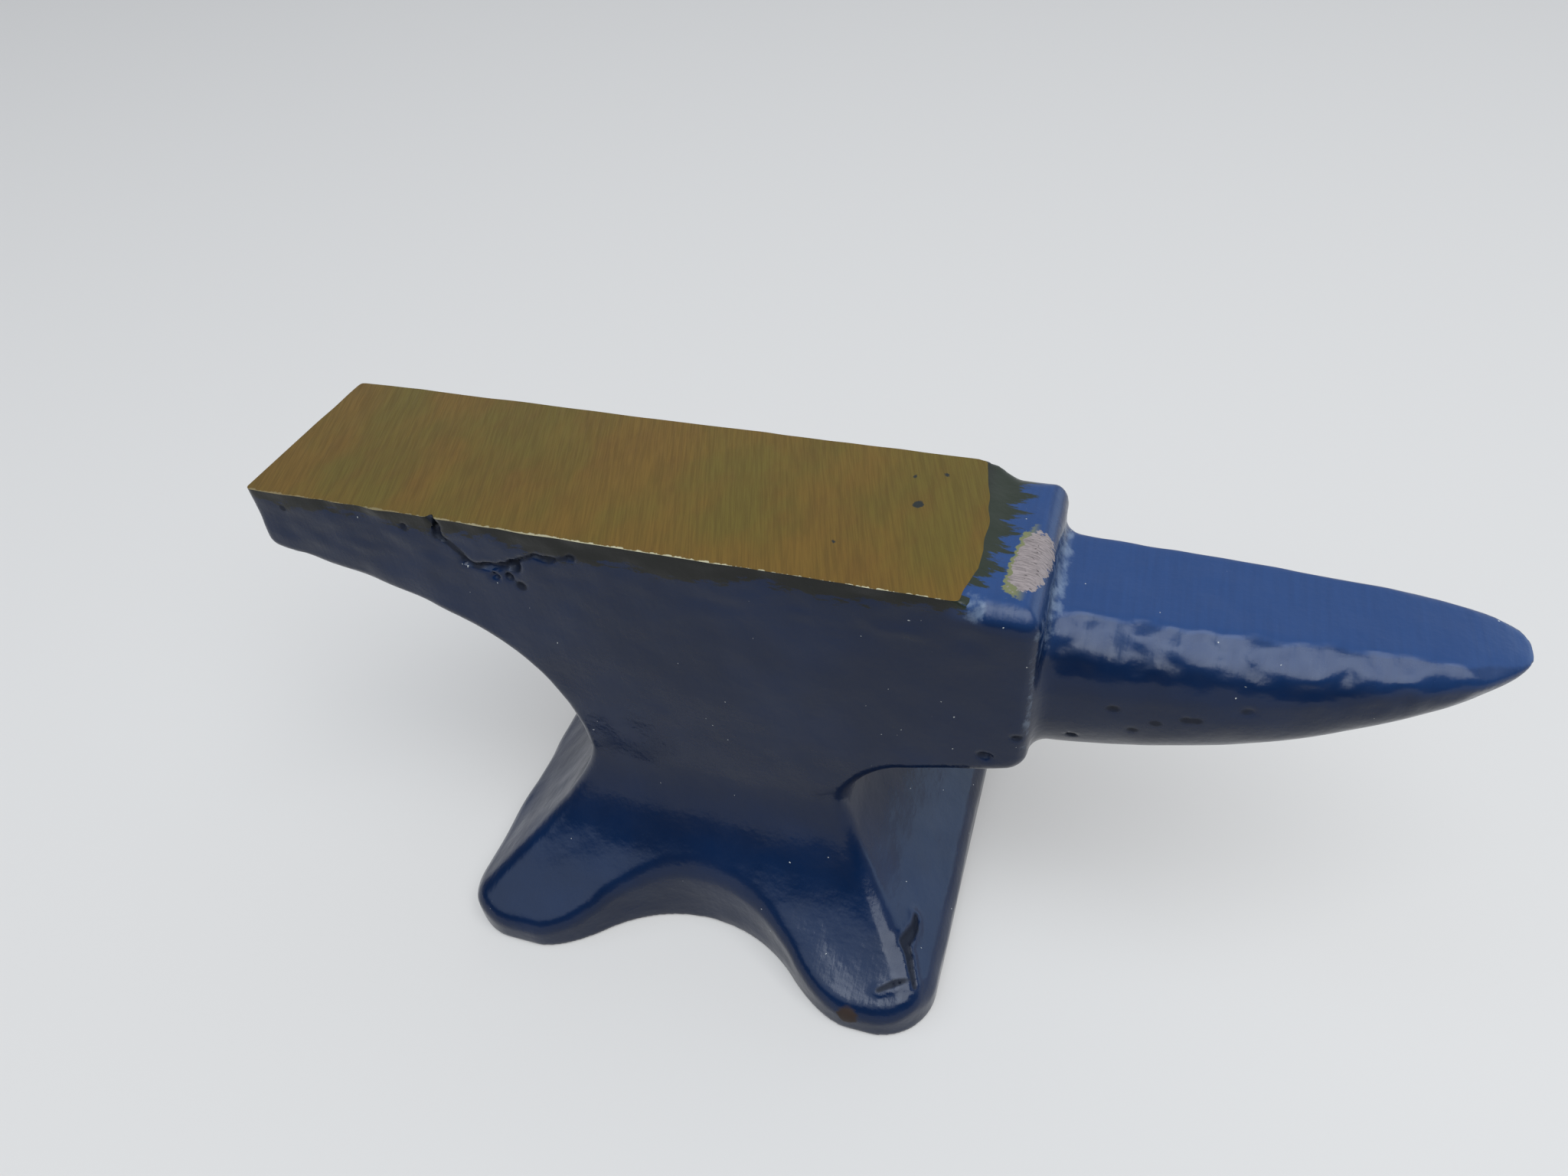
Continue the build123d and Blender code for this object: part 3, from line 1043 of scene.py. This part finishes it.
@dataclass
class Studio:
    """Pale floor, soft light and the camera."""

    floor_size: float = 1600.0
    floor_colour: Colour = (0.448, 0.426, 0.402)
    floor_glow: float = 0.20
    floor_tint: Colour = (1.0, 0.985, 0.965)
    floor_bounce: Colour = (0.16, 0.16, 0.17)
    window_place: Triple = (235.0, -288.0, 705.0)
    window_size: tuple[float, float] = (760.0, 620.0)
    window_power: float = 6.5
    window_colour: Colour = (0.88, 0.94, 1.0)
    bright: Colour = (0.60, 0.63, 0.68)
    bright_side: Triple = (0.30, 0.92, 0.25)
    dim: Colour = (1.10, 1.28, 1.52)
    dim_side: Triple = (-0.35, -0.40, 0.85)
    glare: Colour = (1.16, 1.42, 1.76)
    glare_side: Triple = (0.82, 0.56, 0.12)
    haze: Colour = (0.22, 0.23, 0.26)
    dark: Colour = (0.020, 0.022, 0.026)
    camera_place: Triple = (36.80, -78.67, 115.61)
    camera_azimuth: float = 20.774
    camera_elevation: float = 41.769
    camera_roll: float = -4.874
    lens: float = 25.25

    def floor(self) -> None:
        """Lay the floor under the anvil; it throws less light back up than it shows."""
        size = self.floor_size * MM
        mesh = bpy.data.meshes.new("floor")
        corners = [(-size, -size, 0), (size, -size, 0), (size, size, 0), (-size, size, 0)]
        mesh.from_pydata(corners, [], [(0, 1, 2, 3)])
        kit = Sockets("floor_cloth")
        path = kit.tree.nodes.new("ShaderNodeLightPath")
        seen = kit.sum("MAXIMUM", path.outputs["Is Camera Ray"], path.outputs["Is Glossy Ray"])
        seen = kit.sum("MAXIMUM", seen, path.outputs["Is Transmission Ray"])
        kit.wire(kit.mix(seen, self.floor_bounce, self.floor_colour), kit.shader.inputs["Base Color"])
        kit.wire(kit.sum("MULTIPLY", seen, self.floor_glow), kit.shader.inputs["Emission Strength"])
        kit.shader.inputs["Emission Color"].default_value = (*self.floor_tint, 1.0)
        kit.shader.inputs["Roughness"].default_value = 0.95
        kit.shader.inputs["Specular IOR Level"].default_value = 0.0
        mesh.materials.append(kit.material)
        floor = bpy.data.objects.new("floor", mesh)
        bpy.context.scene.collection.objects.link(floor)

    def window(self) -> None:
        """Hang one soft window-sized lamp over the near side."""
        light = bpy.data.lights.new("window", "AREA")
        light.shape = "RECTANGLE"
        light.size, light.size_y = self.window_size[0] * MM, self.window_size[1] * MM
        light.energy = self.window_power
        light.color = self.window_colour
        lamp = bpy.data.objects.new("window", light)
        lamp.location = Vector(self.window_place) * MM
        lamp.rotation_mode = "QUATERNION"
        lamp.rotation_quaternion = Vector(self.window_place).to_track_quat("Z", "Y")
        bpy.context.scene.collection.objects.link(lamp)

    def room(self) -> None:
        """Surround the anvil with a room: bright behind it, dim over the heel's near side, hazy low down."""
        world = bpy.data.worlds.new("studio")
        world.use_nodes = True
        tree = world.node_tree
        background = tree.nodes["Background"]
        place = tree.nodes.new("ShaderNodeTexCoord")
        colour = self.dark
        lights = (
            (self.bright_side, -0.30, 0.80, self.bright),
            (self.dim_side, 0.78, 0.93, self.dim),
            (self.glare_side, 0.84, 0.97, self.glare),
            ((0.0, 0.0, -1.0), -0.45, 0.05, self.haze),
        )
        for side, start, full, light in lights:
            toward = tree.nodes.new("ShaderNodeVectorMath")
            toward.operation = "DOT_PRODUCT"
            toward.inputs[1].default_value = side
            tree.links.new(place.outputs["Generated"], toward.inputs[0])
            fade = tree.nodes.new("ShaderNodeMapRange")
            fade.interpolation_type = "SMOOTHSTEP"
            fade.inputs["From Min"].default_value = start
            fade.inputs["From Max"].default_value = full
            tree.links.new(toward.outputs["Value"], fade.inputs["Value"])
            blend = tree.nodes.new("ShaderNodeMix")
            blend.data_type = "RGBA"
            blend.blend_type = "LIGHTEN"
            blend.inputs[7].default_value = (*light, 1.0)
            if isinstance(colour, tuple):
                blend.inputs[6].default_value = (*colour, 1.0)
            else:
                tree.links.new(colour, blend.inputs[6])
            tree.links.new(fade.outputs["Result"], blend.inputs[0])
            colour = blend.outputs[2]
        tree.links.new(colour, background.inputs["Color"])
        background.inputs["Strength"].default_value = 1.0
        bpy.context.scene.world = world
        bpy.context.scene.view_settings.view_transform = "Standard"

    def camera(self) -> None:
        """Set the camera where the anvil is seen from above its near side."""
        azimuth, elevation, roll = (
            radians(turn) for turn in (self.camera_azimuth, self.camera_elevation, self.camera_roll)
        )
        back = Vector((sin(azimuth) * cos(elevation), -cos(azimuth) * cos(elevation), sin(elevation)))
        right = (-back).cross(Vector((0, 0, 1))).normalized()
        up = right.cross(-back)
        across = cos(roll) * right + sin(roll) * up
        upright = cos(roll) * up - sin(roll) * right
        data = bpy.data.cameras.new("camera")
        data.lens = self.lens
        data.sensor_width = 36.0
        data.clip_start, data.clip_end = 1.0 * MM, 5000.0 * MM
        camera = bpy.data.objects.new("camera", data)
        turn = Matrix((across, upright, back)).transposed().to_4x4()
        camera.matrix_world = Matrix.Translation(Vector(self.camera_place) * MM) @ turn
        bpy.context.scene.collection.objects.link(camera)
        bpy.context.scene.camera = camera


def dress(
    made: bpy.types.Object, piece: Piece, enamel: bpy.types.Material, ground: bpy.types.Material
) -> None:
    """Give a piece its finishes, and tie it to the CAD body."""
    made.data.materials.append(enamel)
    made.data.materials.append(ground)
    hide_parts(piece.value)
    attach(made, "root")


def main() -> None:
    """Build the anvil and the scene round it."""
    logging.basicConfig(level=logging.INFO, format="%(message)s")
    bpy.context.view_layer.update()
    studio = Studio()
    studio.camera()
    studio.floor()
    studio.window()
    studio.room()
    base = Base()
    block = Block(base)
    horn = Horn(block)
    flaws = Flaws(block)
    wear = Wear(block, horn, flaws)
    casting = Casting(base, block, horn, flaws)
    whole = bmesh.new()
    whole.from_mesh(casting.shape())
    cut_flat(whole, Vector((0, 0, block.face_height * MM)), Vector((0, 0, 1)))
    enamel, ground = Enamel().material(), GroundIron().material(block)
    for piece in Piece:
        made = casting.part(whole, piece)
        wear.mark(made.data)
        dress(made, piece, enamel, ground)
        if piece is Piece.FACE:
            for face in made.data.polygons:
                if face.normal.z > 0.999 and face.center.z > (block.face_height - 0.01) * MM:
                    face.material_index = 1
        log.info("%s: %d faces", made.name, len(made.data.polygons))
    whole.free()


if __name__ == "__main__":
    main()
